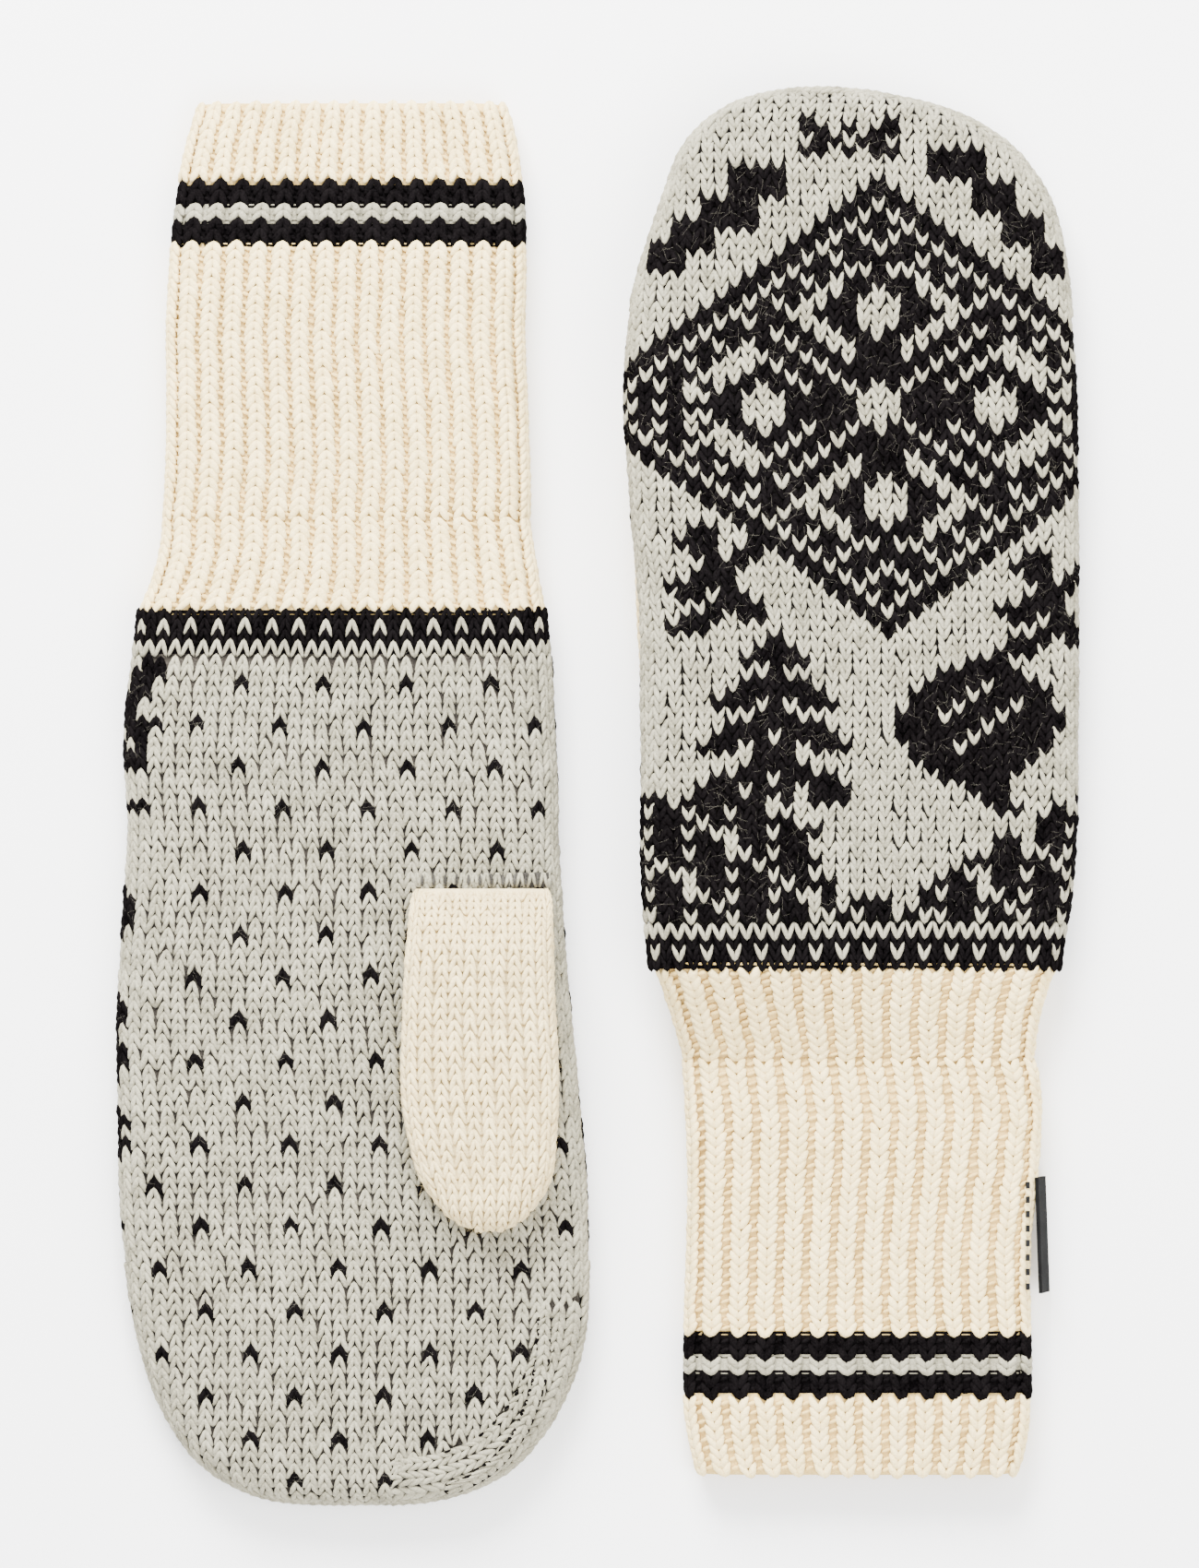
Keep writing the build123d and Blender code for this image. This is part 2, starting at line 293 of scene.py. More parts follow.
def half_outline(points, side):
    """The upper (side -1) or lower (side 1) half of the convex outline round flat points."""
    kept = []
    for p in points[np.lexsort((points[:, 1], points[:, 0]))]:
        while len(kept) > 1:
            a, b = kept[-2], kept[-1]
            if side * ((b[0] - a[0]) * (p[1] - a[1]) - (b[1] - a[1]) * (p[0] - a[0])) > 0:
                break
            kept.pop()
        kept.append(p)
    return np.array(kept)


def lengths(line):
    """How far each point is along a line."""
    return np.r_[0, np.cumsum(np.linalg.norm(np.diff(line, axis=0), axis=1))]


class Cloth:
    """A face to knit on: a grid of points, level by level from the wrist, with its normals.

    Where its sides close towards the tip, columns run straight on past them and end there.
    """

    def __init__(self, grid, outward, row, tip_at=2.0):
        self.grid = grid
        self.back = (grid[0] - grid[3]) / np.linalg.norm(grid[0] - grid[3], axis=1)[:, None]
        self.ahead = -self.back if tip_at > 1 else self.back * 0
        over, up = np.gradient(grid, axis=1), np.gradient(grid, axis=0)
        normal = np.cross(over, up) * outward
        self.normal = normal / np.maximum(np.linalg.norm(normal, axis=2, keepdims=True), 1e-12)
        self.flipped = outward < 0
        self.along = lengths(grid[:, grid.shape[1] // 2])
        self.across = np.linalg.norm(np.diff(grid, axis=1), axis=2).sum(1)
        self.middle = (grid[:, 0, 0] + grid[:, -1, 0]) / 2
        self.rows = max(1, round(self.along[-1] / (row * MM)))
        self.row = self.along[-1] / self.rows
        self.tip_at = tip_at * self.along[-1]

    def share(self, across, distance):
        """Where a column lies: an even share of the width, and straight on through the tip."""
        width = np.interp(distance, self.along, self.across)
        middle = np.interp(distance, self.along, self.middle)
        full = np.interp(self.tip_at, self.along, self.across)
        start = np.interp(self.tip_at, self.along, self.middle)
        straight = 0.5 + ((across - 0.5) * full + start - middle) / width
        return np.where(distance > self.tip_at, straight, across)

    def at(self, share, distance, height):
        """The places at a share of the width, a distance from the wrist and a height above."""
        level = np.interp(distance, self.along, np.arange(len(self.along)))
        column = np.clip(share, 0, 1) * (self.grid.shape[1] - 1)
        j = np.clip(level.astype(int), 0, self.grid.shape[0] - 2)
        k = np.clip(column.astype(int), 0, self.grid.shape[1] - 2)
        up, over = (level - j)[:, None], (column - k)[:, None]

        def between(g):
            low = g[j, k] * (1 - over) + g[j, k + 1] * over
            high = g[j + 1, k] * (1 - over) + g[j + 1, k + 1] * over
            return low * (1 - up) + high * up

        before = np.maximum(-distance, 0)[:, None] * self.back[k]
        after = np.maximum(distance - self.along[-1], 0)[:, None] * self.ahead[k]
        return between(self.grid) + between(self.normal) * height[:, None] + before + after


def tube_face(nodes, tip, top, row, levels=90, tip_at=2.0, spill=True):
    """The upper or lower face of the flat tube that the nodes make.

    With spill, its first and last rows reach past its ends, under those of the next piece.
    """
    low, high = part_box(nodes[0])
    start, stop = (low[1], high[1]) if tip > 0 else (high[1], low[1])
    start, stop = start + tip * 0.03 * MM, stop - tip * 0.2 * MM
    ends = node_edges(nodes)
    a, b = ends[:, 0], ends[:, 1]
    grid = []
    for y in start + (stop - start) * (1 - np.cos(np.linspace(0, math.pi, levels))) / 2:
        crossing = (a[:, 1] - y) * (b[:, 1] - y) < 0
        p, q = a[crossing], b[crossing]
        cut = p + (q - p) * ((y - p[:, 1]) / (q[:, 1] - p[:, 1]))[:, None]
        line = half_outline(cut[:, [0, 2]], -1 if top else 1)
        at = np.linspace(0, lengths(line)[-1], WEFT)
        x, z = (np.interp(at, lengths(line), line[:, k]) for k in range(2))
        grid.append(np.c_[x, np.full(WEFT, y), z])
    cloth = Cloth(np.array(grid), tip * (1 if top else -1), row, tip_at)
    if not spill:
        cloth.back, cloth.ahead = cloth.back * 0, cloth.ahead * 0
    return cloth


# ---- Knitting -----------------------------------------------------------------------------------

# How much a stitch strays by chance: its size, and its place across, along and up.
STRAY = (0.07, 0.035, 0.07, 0.07)
# The slow waves in the knitting across, along and up: their reach, strength and phase.
WAVE_ACROSS, WAVE_ALONG, WAVE_UP = (6.0, 0.15, 0.4), (6.0, 0.22, 1.1), (3.7, 0.25, 2.0)
SIDE_GAP = 0.004                # stitches whose middle is nearer to a face's side are left out


class Knitting:
    """Stitches gathered for one piece."""

    def __init__(self):
        self.points, self.faces, self.colours, self.count = [], [], [], 0

    def add(self, points, faces, colours, flipped=False):
        for face in faces:
            shifted = [v + self.count for v in face]
            self.faces.append(shifted[::-1] if flipped else shifted)
        self.points.append(points)
        self.colours.append(colours)
        self.count += len(points)

    def place(self, cloth, shape, columns, across, along, colours, size=1.0, lift=0.0, loose=1.0,
              clear=None):
        """Lays a shape at each place, given in columns and rows, a little unevenly.

        It leaves out what lies past the face's sides, and what lies near the line clear.
        """
        points, faces = shape
        count = len(across)
        stray = loose * rng.standard_normal((4, count)).clip(-2, 2)[:, :, None]
        size = np.reshape(size, (-1, 1)) * (1 + STRAY[0] * stray[0])
        a = across[:, None] + points[None, :, 0] * size + STRAY[1] * stray[1]
        b = along[:, None] + points[None, :, 1] + STRAY[2] * stray[2]
        c = points[None, :, 2] * size + lift + STRAY[3] * stray[3]
        a = a + loose * wander(a, b, *WAVE_ACROSS)
        b = b + loose * wander(b, a, *WAVE_ALONG)
        c = c + loose * wander(a, b, *WAVE_UP)
        distance = b.ravel() * cloth.row
        share = cloth.share(a.ravel() / columns, distance)
        places = cloth.at(share, distance, c.ravel() * MM)
        middles = share.reshape(a.shape).mean(1)
        keep = (middles > SIDE_GAP) & (middles < 1 - SIDE_GAP)
        places = places.reshape(count, -1, 3)
        if clear is not None:
            middle = places[:, :, :2].mean(1)[:, None]
            keep &= np.linalg.norm(middle - clear[None, :, :2], axis=2).min(1) > STRIP * MM
        places = places[keep]
        step = len(points)
        every = [[v + n * step for v in face] for n in range(len(places)) for face in faces]
        self.add(places.reshape(-1, 3), every, np.repeat(colours[keep], len(faces)), cloth.flipped)

    def stitches(self, cloth, shape, columns, chart, loose=1.0, size=1.0, early=0.0, bold=1.0,
                 clear=None):
        """One stitch for each column and row, in the yarn that the chart gives."""
        i, j = (g.ravel() for g in np.meshgrid(np.arange(columns), np.arange(cloth.rows)))
        yarns = np.array([chart(column, row) for column, row in zip(i, j)])
        kept = yarns != NONE
        sizes = size * np.where(yarns[kept] == DARK, bold, 1.0)
        self.place(cloth, shape, columns, i[kept] + 0.5, j[kept] - early, yarns[kept], sizes,
                   loose=loose, clear=clear)

    def lining(self, cloth, colour, depth=LINING_DEPTH, thick=LINING_THICK, levels=50, columns=36):
        """A closed, even layer under the stitches, a little longer than the face."""
        share, distance = np.meshgrid(np.linspace(0, 1, columns),
                                      np.linspace(-0.6 * MM, cloth.along[-1] + 0.6 * MM, levels))
        layers = [cloth.at(share.ravel(), distance.ravel(), np.full(share.size, -d * MM))
                  for d in (depth, depth + thick)]
        n = levels * columns
        faces = []
        for j in range(levels - 1):
            for k in range(columns - 1):
                a = j * columns + k
                quad = [a, a + 1, a + columns + 1, a + columns]
                faces += [quad, [v + n for v in quad[::-1]]]
        rim = list(range(columns))
        rim += [columns - 1 + columns * j for j in range(1, levels)]
        rim += [n - 1 - k for k in range(1, columns)]
        rim += [columns * j for j in range(levels - 2, 0, -1)]
        for a, b in zip(rim, rim[1:] + rim[:1]):
            faces.append([b, a, a + n, b + n])
        self.add(np.concatenate(layers), faces, np.full(len(faces), colour), cloth.flipped)

    def piece(self, name, finishes, slot, nodes, body=None, bend=None):
        """The gathered stitches as one piece that stands for its nodes.

        It rides on a body, or, given a bend, stays where it is, its placement baked into its
        points.
        """
        mesh = bpy.data.meshes.new(name)
        mesh.from_pydata(np.concatenate(self.points), [], self.faces)
        made = bpy.data.objects.new(name, mesh)
        bpy.context.scene.collection.objects.link(made)
        for finish in finishes:
            mesh.materials.append(finish)
        mesh.polygons.foreach_set("material_index", np.concatenate(self.colours))
        mesh.polygons.foreach_set("use_smooth", np.ones(len(self.faces), bool))
        mesh.update()
        if bend:
            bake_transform(made)
        else:
            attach(made, body)
        if nodes:
            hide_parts(*nodes)
        return made


def flattened_base(cloth, palm_z, least=0.06, rounding=0.05):
    """Draws the open end of a thumb down onto the palm and rounds its corners."""
    far = cloth.along[:, None]
    raised = np.sin(np.clip(far / (THUMB_SLOPE * MM), 0, 1) * math.pi / 2)
    narrowed = 1 - rounding * np.clip(1 - far / (THUMB_CORNER * MM), 0, 1) ** 2
    grid = cloth.grid.copy()
    grid[:, :, 2] = palm_z + (grid[:, :, 2] - palm_z) * np.maximum(raised, least)
    middle = grid[:, :, 0].mean(1, keepdims=True)
    grid[:, :, 0] = middle + (grid[:, :, 0] - middle) * narrowed
    return grid


def wander(a, b, reach, strength, phase):
    """The slow unevenness of knitting, as crossing waves."""
    first = np.sin(a / reach + 1.3 * np.sin(b / reach * 0.7 + phase) + phase)
    second = np.sin(b / reach * 1.7 + a / reach * 0.6 + 2 * phase)
    return strength * (first + 0.6 * second) / 1.6


# ---- Charts: the yarn of a stitch, by its column and row ----------------------------------------

DRAWN = {"x": DARK, "o": LIGHT, ".": NONE}


def every_light(column, row):
    return LIGHT


def every_dark(column, row):
    return DARK


def wrist_band(column, row):
    """Dark, then every second stitch light, then dark."""
    return (DARK, LIGHT if column % 2 else DARK, DARK, LIGHT)[row % 4]


def dotted_palm(column, row):
    """Single dark stitches, every sixth column and eighth row, with the next line between them."""
    home = (column - 3) % 6 == 0 and row % 8 == 2
    between = column % 6 == 0 and row % 8 == 6
    return DARK if home or between else LIGHT


# The edge of the back's pattern, where it comes round to the palm, from the wrist on. The palm is
# plain beside it.
ROUND_EDGE = ("ooxx", "oxxx", "oxx.", "xxx.", "xxo.", "xxo.", "xxxx", "oxx.", "xox.", "xxx.",
              "xxx.", "oo..", "oo..", "oo..", "xxx.", "oo..", "oo..", "oo..", "oo..", "oo..",
              "oo..", "oo..", "xo..", "xx..", "xx..", "xx..", "xo..", "oo..", "oo..", "oo..",
              "oo..", "oo..", "xo..", "xx..", "xx..", "xo..", "xo..", "xx..", "xx..", "xo..",
              "xo..", "oo..", "oo..", "xo..", "xx..", "xo..", "xx..", "xo..", "oo..", "oo..")


def left_palm(column, row):
    """The dotted palm, with the edge of the back's pattern along its outer side."""
    if row < len(ROUND_EDGE) and column < len(ROUND_EDGE[0]):
        return DARK if ROUND_EDGE[row][column] == "x" else LIGHT
    return dotted_palm(column, row)


MIDDLE_COLUMN, MIDDLE_ROW = 18, 48


def diamond(u, v):
    """The big diamond, by the columns and rows from its middle.

    Light eyes with dark petals lie on the arms of a dark cross, in fine dark and light lines, and
    four rings go round it.
    """
    ring, lean = u + v, abs(u - v)
    if ring <= 2 and u < 2:
        return LIGHT
    for wide, high in ((u, abs(v - 9)), (abs(u - 8), v)):
        if wide + high <= 2 and wide < 2:
            return LIGHT
        if wide + high <= 4 and ring < 15:
            return DARK
    if min(u, v) <= 1 and ring < 13:
        return DARK
    if ring >= 20 or ring in (16, 18):
        return DARK
    if ring == 19 or ring == 17 and u % 2:
        return LIGHT
    if ring == 17:
        return DARK
    if 12 <= ring <= 15 and 3 <= lean <= 9:
        return LIGHT
    return LIGHT if (lean + 1) % 4 < 2 else DARK


# A zigzag, a small sprig, a fir and a leaf, from their top row down: x is dark, o is light, and
# the ground shows through the dots.
TIP_ZIGZAG = ("x.....x",
              "xx.x.xx",
              ".xx.xx.",
              "xx.x.xx")
SPRIG = ("..xx...",
         ".xxx..x",
         "..xx.xx",
         "...xxx.",
         ".oxxx..",
         "xxxxx..",
         ".xx.xx.",
         "..oxxxx",
         ".xxx.xx",
         "xxx....")
FIR = (".....x.....",
       "....xxx....",
       "...xxxxx...",
       ".....x.....",
       "...xxxxx...",
       "..xxxxxxx..",
       ".xxxoxoxxx.",
       "....xxx....",
       "..xxxxxxx..",
       ".xxxxoxxxx.",
       "xxxoxxxoxxx",
       "....xxx....",
       "...xxxxx...",
       ".xxxxoxxxx.",
       "xxxoxxxoxxx",
       "xxx.xxx.xxx",
       "....xxx....",
       "....xxx....",
       "..xxxxxxx..",
       "...ooxoo...")
LEAF = (".....xxx....",
        "...xxxxxx...",
        "..xxxxoxxx..",
        ".xxxxoxxxxx.",
        ".xxxoxxxoxx.",
        "xxxoxxxoxxxx",
        "xxxxxxoxxxxx",
        "xxxxxoxxxxx.",
        ".xxxoxxxxxx.",
        ".xxxxxxxxx..",
        "..xxxxxxx...",
        "...xxxxx....",
        ".....xxx....",
        "......xx....",
        ".......xx...")


def motif(drawing, column, row, left, top):
    """The yarn that a drawing gives at a place, if it covers it."""
    down, over = top - row, column - left
    if 0 <= down < len(drawing) and 0 <= over < len(drawing[0]):
        return DRAWN[drawing[down][over]]
    return NONE


# Each drawing with its left column and top row, and the stepped blobs over the diamond, with the
# place of the first one from the diamond's middle and the step to the next.
DRAWINGS = ((TIP_ZIGZAG, 13, 75), (SPRIG, 3, 36), (SPRIG, 26, 34), (FIR, 5, 26), (LEAF, 19, 24))
LEFT_BLOBS = (-8.6, 20.6, -2.1, -2.35)
RIGHT_BLOBS = (5.6, 23.0, 2.3, -3.0)
DIAMOND_REACH = 21


def in_corner(x, y):
    """Whether a stitch lies in one of the dark corners by the wrist."""
    left = x < -3 and x + y * 0.45 < -24
    right = x > -1 and x * 0.9 - y > 48
    return y < -36 and (left or right)


def patterned_back(column, row):
    """The back: the diamond, stepped blobs above it, motifs below it and dotted dark corners."""
    x, y = column - MIDDLE_COLUMN, row - MIDDLE_ROW
    if abs(x) + abs(y) <= DIAMOND_REACH:
        return diamond(abs(x), abs(y))
    first_x, first_y, step_x, step_y = LEFT_BLOBS if x < 0 else RIGHT_BLOBS
    for step in range(4):
        across, up = first_x + step_x * step, first_y + step_y * step
        if abs(x - across) <= 1.8 and abs(y - up) <= 1.5:
            return DARK
    if in_corner(x, y):
        return LIGHT if column % 3 == 1 and row % 2 == 0 or (column + row) % 7 == 0 else DARK
    if row < 2:
        return LIGHT if (column + row) % 4 == 0 else DARK
    for drawing, left, top in DRAWINGS:
        found = motif(drawing, column, row, left, top)
        if found != NONE:
            return found
    return LIGHT


# ---- The pair -----------------------------------------------------------------------------------

# Each mitten: which way its tip points along Y, which face is up, how many ribs cross its cuff, and
# where the wrist's bend would begin and end; the bend itself is not made.
SIDES = {
    "left": {"tip": -1, "palm_up": True, "ribs": 17, "rib_v": left_rib_v,
             "cuff_starts": (-0.0545, 0.0398, 0.0065), "cuff_ends": (-0.0545, 0.0598, 0.0065)},
    "right": {"tip": 1, "palm_up": False, "ribs": 14, "rib_v": right_rib_v,
              "cuff_starts": (0.056, -0.0362, 0.0065), "cuff_ends": (0.056, -0.0562, 0.0065)},
}


def knit_hand(side, tip, palm_up):
    """The palm and the back, each with the dark yarn that is carried behind its stitches."""
    nodes = [f"{side}_palm", f"{side}_back"]
    for layer in ("palm", "back"):
        cloth = tube_face(nodes, tip, (layer == "palm") == palm_up, HAND_ROW, tip_at=HAND_NARROWS)
        chart = patterned_back if layer == "back" else left_palm if palm_up else dotted_palm
        knitted = Knitting()
        clear = None
        if side == "left" and layer == "palm":
            strip = outer_rim(cloth, HAND_NARROWS, half=True)
            clear = strip[STRIP_CLEARS]
        knitted.stitches(cloth, knit_v, HAND_COLUMNS, chart, bold=1.15, clear=clear)
        if clear is not None:
            knit_strip(cloth, strip[STRIP_RUNS])
        knitted.piece(f"{side}_{layer}_stitches", [light_wool, dark_wool], f"{layer}_knit",
                      [f"{side}_{layer}"], f"{side}_hand")
        floats = Knitting()
        floats.lining(cloth, 0, thick=CARRIED_THICK)
        floats.piece(f"{side}_{layer}_carried_yarn",
                     [carried_wool if layer == "palm" else dark_carried_wool],
                     "dark_yarn" if layer == "palm" else "back_floats_yarn",
                     [f"{side}_{layer}_floats"], f"{side}_hand")
        fuzz(f"{side}_{layer}_fuzz", cloth, HAND_FIBRES, fibre_wool, f"{layer}_knit",
             body=f"{side}_hand")
        if layer == "back":
            knit_rim(side, tip, cloth)


def knit_tip_seam(side, tip):
    """The line where the fingertips are drawn together: one column over dark gaps of painted shade.
    """
    node = f"{side}_tip_seam"
    low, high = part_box(node)
    under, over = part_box(f"{side}_palm"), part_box(f"{side}_back")
    top = (low[2] + high[2]) / 2 > (under[0][2] + under[1][2] + over[0][2] + over[1][2]) / 4
    cloth = tube_face([node], tip, top, HAND_ROW, levels=40, spill=False)
    seam = Knitting()
    seam.stitches(cloth, knit_v, 1, every_light, loose=0.5)
    at = np.arange(cloth.rows) * 1.0
    # Grains of the dark wool along both edges stand for the gaps: painted shade.
    for edge in (0.08, 0.92):
        seam.place(cloth, dark_slit, 1, np.full(at.size, edge), at + 0.5, np.full(at.size, DARK),
                   lift=0.1, loose=0.5)
    seam.piece(f"{node}_stitches", [light_wool, dark_wool], "light_yarn", [node],
               body=f"{side}_hand")


def outer_rim(cloth, begin, half=False):
    """The line round the fingertips where a hand's faces meet, or only its part on one side."""
    start = int(np.searchsorted(cloth.along, cloth.along[-1] * begin))
    grid = cloth.grid
    runs = [grid[start:, -1]] + ([] if half else [grid[-1, -2:0:-1], grid[:start - 1:-1, 0]])
    rim = np.concatenate(runs)
    steps = lengths(rim)
    even = np.linspace(0, steps[-1], RIM_POINTS)
    return np.stack([np.interp(even, steps, rim[:, k]) for k in range(3)], 1)


def facing_out(rim, tip):
    """The level direction away from the hand, all along its rim."""
    ahead = np.gradient(rim, axis=0)
    ahead /= np.linalg.norm(ahead, axis=1, keepdims=True)
    return np.cross(ahead, (0, 0, 1.0)) * tip


def knit_rim(side, tip, cloth):
    """Two columns of stitches along the rim of the fingertips, where the faces meet."""
    rim = outer_rim(cloth, 0.70)
    out = facing_out(rim, tip)
    bands = [rim + out * away * MM + np.array((0, 0, up * MM)) for away, up in RIM_BANDS]
    ribbon = Cloth(np.stack(bands, 1), 1.0, HAND_ROW)
    inside = cloth.grid[len(cloth.grid) // 2].mean(0)
    if np.sum(ribbon.normal[RIM_POINTS // 2, 1] * (rim[RIM_POINTS // 2] - inside)) < 0:
        ribbon = Cloth(np.stack(bands, 1), -1.0, HAND_ROW)
    knitted = Knitting()
    knitted.stitches(ribbon, knit_v, 2, every_light, loose=0.6)
    knitted.piece(f"{side}_rim_stitches", [light_wool], "light_yarn", [], f"{side}_hand")


def knit_strip(cloth, rim):
    """On the left palm, three columns that follow the fingertips' edge down the thumb's side."""
    inwards = -facing_out(rim, -1)
    middle = RIM_POINTS // 2
    if np.sum(inwards[middle] * (cloth.grid[len(cloth.grid) // 2].mean(0) - rim[middle])) < 0:
        inwards = -inwards
    flat = cloth.grid.reshape(-1, 3)
    lines = []
    for depth in np.linspace(0.3, STRIP + 0.4, 6):
        line = rim + inwards * depth * MM
        apart = np.linalg.norm(line[:, None, :2] - flat[None, :, :2], axis=2)
        height = flat[apart.argmin(1), 2]
        line[:, 2] = np.convolve(np.pad(height, 3, "edge"), np.ones(7) / 7, "valid")
        lines.append(line)
    ribbon = Cloth(np.stack(lines, 1), 1.0, HAND_ROW)
    if ribbon.normal[middle, 3, 2] < 0:
        ribbon = Cloth(np.stack(lines, 1), -1.0, HAND_ROW)
    knitted = Knitting()
    knitted.stitches(ribbon, knit_v, 3, every_light, loose=0.7)
    # Grains of the dark wool every second row stand for gaps beside the strip: painted shade.
    at = np.arange(0, ribbon.rows, 2) * 1.0
    knitted.place(ribbon, dark_slit, 3, np.full(at.size, 2.9), at, np.full(at.size, DARK), lift=0.3)
    knitted.piece("left_palm_edge_stitches", [light_wool, dark_wool], "palm_knit", [], "left_hand")


FIBRE_LONG, FIBRE_RISE = (0.9, 3.2), (1.2, 3.4)
FIBRE_ROOT = 0.35               # how far over the face a fibre leaves the yarn


def fuzz(name, cloth, count, finish, slot, **hold):
    """Loose fibres all over a face, each turned its own way."""
    share = rng.uniform(0.0, 1.0, count)
    distance = rng.uniform(0.0, 1.0, count) * cloth.along[-1]
    points, faces = loose_fibre
    turn = rng.uniform(0, 2 * math.pi, count)
    long = rng.uniform(*FIBRE_LONG, count)
    x, y, z = points[:, 0], points[:, 1], points[:, 2]
    east = long[:, None] * (y[None] * np.cos(turn)[:, None]) - x[None] * np.sin(turn)[:, None]
    north = long[:, None] * (y[None] * np.sin(turn)[:, None]) + x[None] * np.cos(turn)[:, None]
    up = FIBRE_ROOT + z[None] * rng.uniform(*FIBRE_RISE, count)[:, None]
    root = cloth.at(share, distance, np.zeros(count))
    width = np.interp(distance, cloth.along, cloth.across)
    shares = share[:, None] + east * MM / width[:, None]
    over = np.clip(shares, 0, 1)
    flat = cloth.at(over.ravel(), (distance[:, None] + north * MM).ravel(), up.ravel() * MM)
    outside = ((shares - over) * width[:, None]).ravel()
    flat[:, 0] += outside * 0.8
    gathered = Knitting()
    step = len(points)
    every = [[v + n * step for v in face] for n in range(len(root)) for face in faces]
    gathered.add(flat, every, np.zeros(len(every), int), cloth.flipped)
    return gathered.piece(name, [finish], slot, [], **hold)


def knit_tube(side, part, tip, columns, shape, chart, finishes, row, slot, purls=0, lining=0,
              **hold):
    """A band round the tube, both faces in one piece, with purl bumps between its ribs."""
    node = f"{side}_{part}"
    knitted = Knitting()
    for top in (True, False):
        cloth = tube_face([node], tip, top, row, levels=26)
        knitted.lining(cloth, lining, levels=10)
        knitted.stitches(cloth, shape, columns, chart, loose=0.6, early=0.3)
        if purls:
            i, j = (g.ravel() for g in np.meshgrid(np.arange(1, columns), np.arange(cloth.rows)))
            knitted.place(cloth, purl_bump, columns, i * 1.0, j + 0.4, np.full(i.size, purls),
                          lift=-0.3, loose=0.8)
    return knitted.piece(f"{node}_stitches", finishes, slot, [node], **hold)


def knit_cuff(side, tip, ribs, rib_v, cuff_starts, cuff_ends):
    """The ribbed wrist and cuff, with its two dark stripes and the rolled hem."""
    bend = (f"{side}_hand", f"{side}_cuff", cuff_starts, cuff_ends)
    # The cream ribs: their purl bumps and lining take the copy of the cream wool that carries
    # painted shade.
    cream = [cream_wool, cream_wool_painted_shade]
    dark = [cream_wool, dark_wool]
    band = [light_wool, dark_wool]
    knit_tube(side, "wrist_band", tip, HAND_COLUMNS, knit_v, wrist_band, band, BAND_ROW,
              "band_knit", lining=1, body=f"{side}_hand")
    knit_tube(side, "wrist_rib", tip, ribs, rib_v, every_light, cream, RIB_ROW, "cream_rib",
              purls=1, lining=1, bend=bend)
    for part, chart, finishes, slot in (("cuff_rib", every_light, cream, "cream_rib"),
                                        ("cuff_stripe_inner", every_dark, dark, "dark_yarn"),
                                        ("cuff_stripe_light", every_light, band, "light_yarn"),
                                        ("cuff_stripe_outer", every_dark, dark, "dark_yarn"),
                                        ("cuff_hem", every_light, cream, "cream_rib")):
        knit_tube(side, part, tip, ribs, rib_v, chart, finishes, RIB_ROW, slot,
                  purls=1 if slot != "light_yarn" else 0, lining=0 if slot == "light_yarn" else 1,
                  body=f"{side}_cuff")


def knit_thumb(side, tip):
    """The plain thumb, and then the drawn-up row that joins it to the palm."""
    node = f"{side}_thumb"
    low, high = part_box(node)
    palm_z = low[2] + 0.6 * MM if side == "left" else high[2] - 0.6 * MM
    hinge = ((low[0] + high[0]) / 2, high[1], low[2])
    bent = (hinge[0], hinge[1] - THUMB_BEND * MM, hinge[2])
    hold = {"bend": ("left_hand", "left_thumb", hinge, bent)} if side == "left" else {"body": node}
    knitted = Knitting()
    for top in (True, False):
        cloth = tube_face([node], tip, top, THUMB_ROW, levels=60, spill=False)
        shaped = flattened_base(cloth, palm_z)
        cloth = Cloth(shaped, tip * (1 if top else -1), THUMB_ROW, THUMB_NARROWS)
        cloth.back = cloth.back * 0
        knitted.lining(cloth, 0)
        knitted.stitches(cloth, knit_v, THUMB_COLUMNS, every_light, loose=0.8)
        if top == (side == "left"):
            outer = cloth
    knitted.piece(f"{node}_stitches", [thumb_wool], "cream_knit", [node], **hold)
    fuzz(f"{node}_fuzz", outer, THUMB_FIBRES, thumb_wool, "cream_knit", **hold)

    join = Knitting()
    for top in (True, False):
        cloth = tube_face([f"{node}_join"], tip, top, JOIN_ROW, levels=6, spill=False)
        # The sheet under the join's stitches takes the grey painted shade of its gaps.
        join.lining(cloth, 1, depth=0.3, thick=0.2, levels=4)
        join.stitches(cloth, knit_v, THUMB_COLUMNS, every_light, loose=0.4, size=0.9)
    cloth = tube_face([f"{node}_join"], tip, side == "left", JOIN_ROW, levels=6, spill=False)
    # Dark grains between the columns: painted shade in the gaps of the drawn-up row.
    at = np.arange(1, THUMB_COLUMNS) * 1.0
    join.place(cloth, dark_slit, THUMB_COLUMNS, at, np.full(at.size, 0.5), np.full(at.size, DARK),
               lift=0.8, loose=0.3)
    join.piece(f"{node}_join_stitches", [light_wool, join_gap_painted_shade], "light_yarn", [f"{node}_join"],
               body=f"{side}_hand")


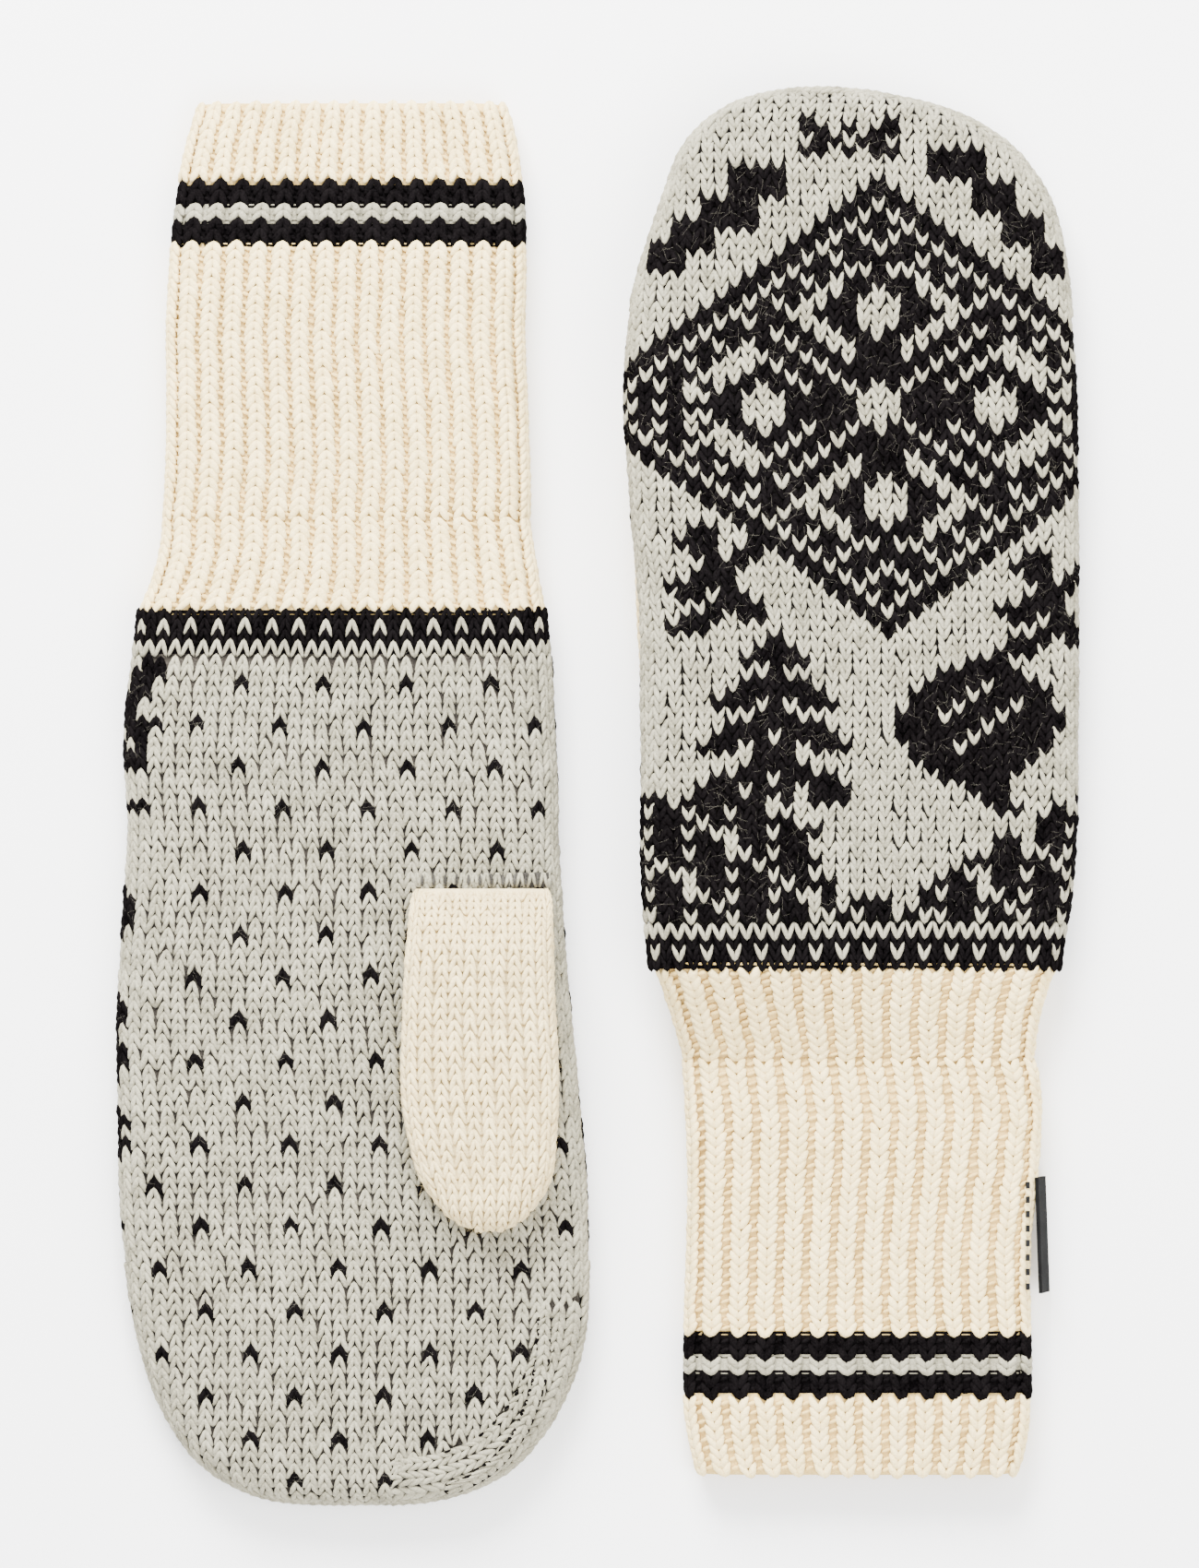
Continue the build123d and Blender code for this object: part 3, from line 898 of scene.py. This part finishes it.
def dress(node, finish):
    """A piece of the frame that shows as it is, in its finish."""
    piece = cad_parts[node]
    piece.data.materials.clear()
    piece.data.materials.append(finish)


for side, facts in SIDES.items():
    knit_hand(side, facts["tip"], facts["palm_up"])
    knit_cuff(side, facts["tip"], facts["ribs"], facts["rib_v"], facts["cuff_starts"],
              facts["cuff_ends"])
    knit_thumb(side, facts["tip"])
    knit_tip_seam(side, facts["tip"])
dress("right_label", label_tape)
dress("right_label_stitches", sewing_thread)


# ---- Camera, light and floor --------------------------------------------------------------------

CAMERA_PLACE = (0.0002, 0.0029, 2.2)
VIEW_HIGH = 0.34                # how much of the floor the picture takes in
SENSOR = 36
ROOM_LIGHT = 2.65
# The lamps: where they stand, their size and their power.
LAMPS = (((-0.25, 1.0, 0.9), 0.7, 92.0), ((0.5, -0.4, 1.6), 1.2, 48.0))
FLOOR_AT = -0.8                 # just under the fuzz, in millimetres


def set_camera():
    bpy.ops.object.camera_add(location=CAMERA_PLACE, rotation=(0, 0, 0))
    camera = bpy.context.object
    camera.data.lens = SENSOR * CAMERA_PLACE[2] / VIEW_HIGH
    camera.data.clip_end = 10
    bpy.context.scene.camera = camera


def set_light():
    world = bpy.data.worlds.new("soft room")
    world.use_nodes = True
    room = world.node_tree.nodes["Background"].inputs
    room["Color"].default_value = (1.0, 1.0, 1.0, 1.0)
    room["Strength"].default_value = ROOM_LIGHT
    bpy.context.scene.world = world
    for place, size, power in LAMPS:
        bpy.ops.object.light_add(type="AREA", location=place)
        lamp = bpy.context.object
        lamp.data.energy = power
        lamp.data.size = size
        x, y, z = place
        lamp.rotation_euler = (math.atan2(math.hypot(x, y), z), 0, math.atan2(x, -y))


def lay_floor():
    bpy.ops.object.select_all(action="DESELECT")
    bpy.ops.mesh.primitive_plane_add(size=6.0)
    floor = bpy.context.object
    floor.name = "floor"
    bpy.ops.object.mode_set(mode="EDIT")
    bpy.ops.transform.translate(value=(0, 0, FLOOR_AT * MM))
    bpy.ops.object.mode_set(mode="OBJECT")
    floor.data.materials.append(pale_floor())


set_camera()
set_light()
lay_floor()
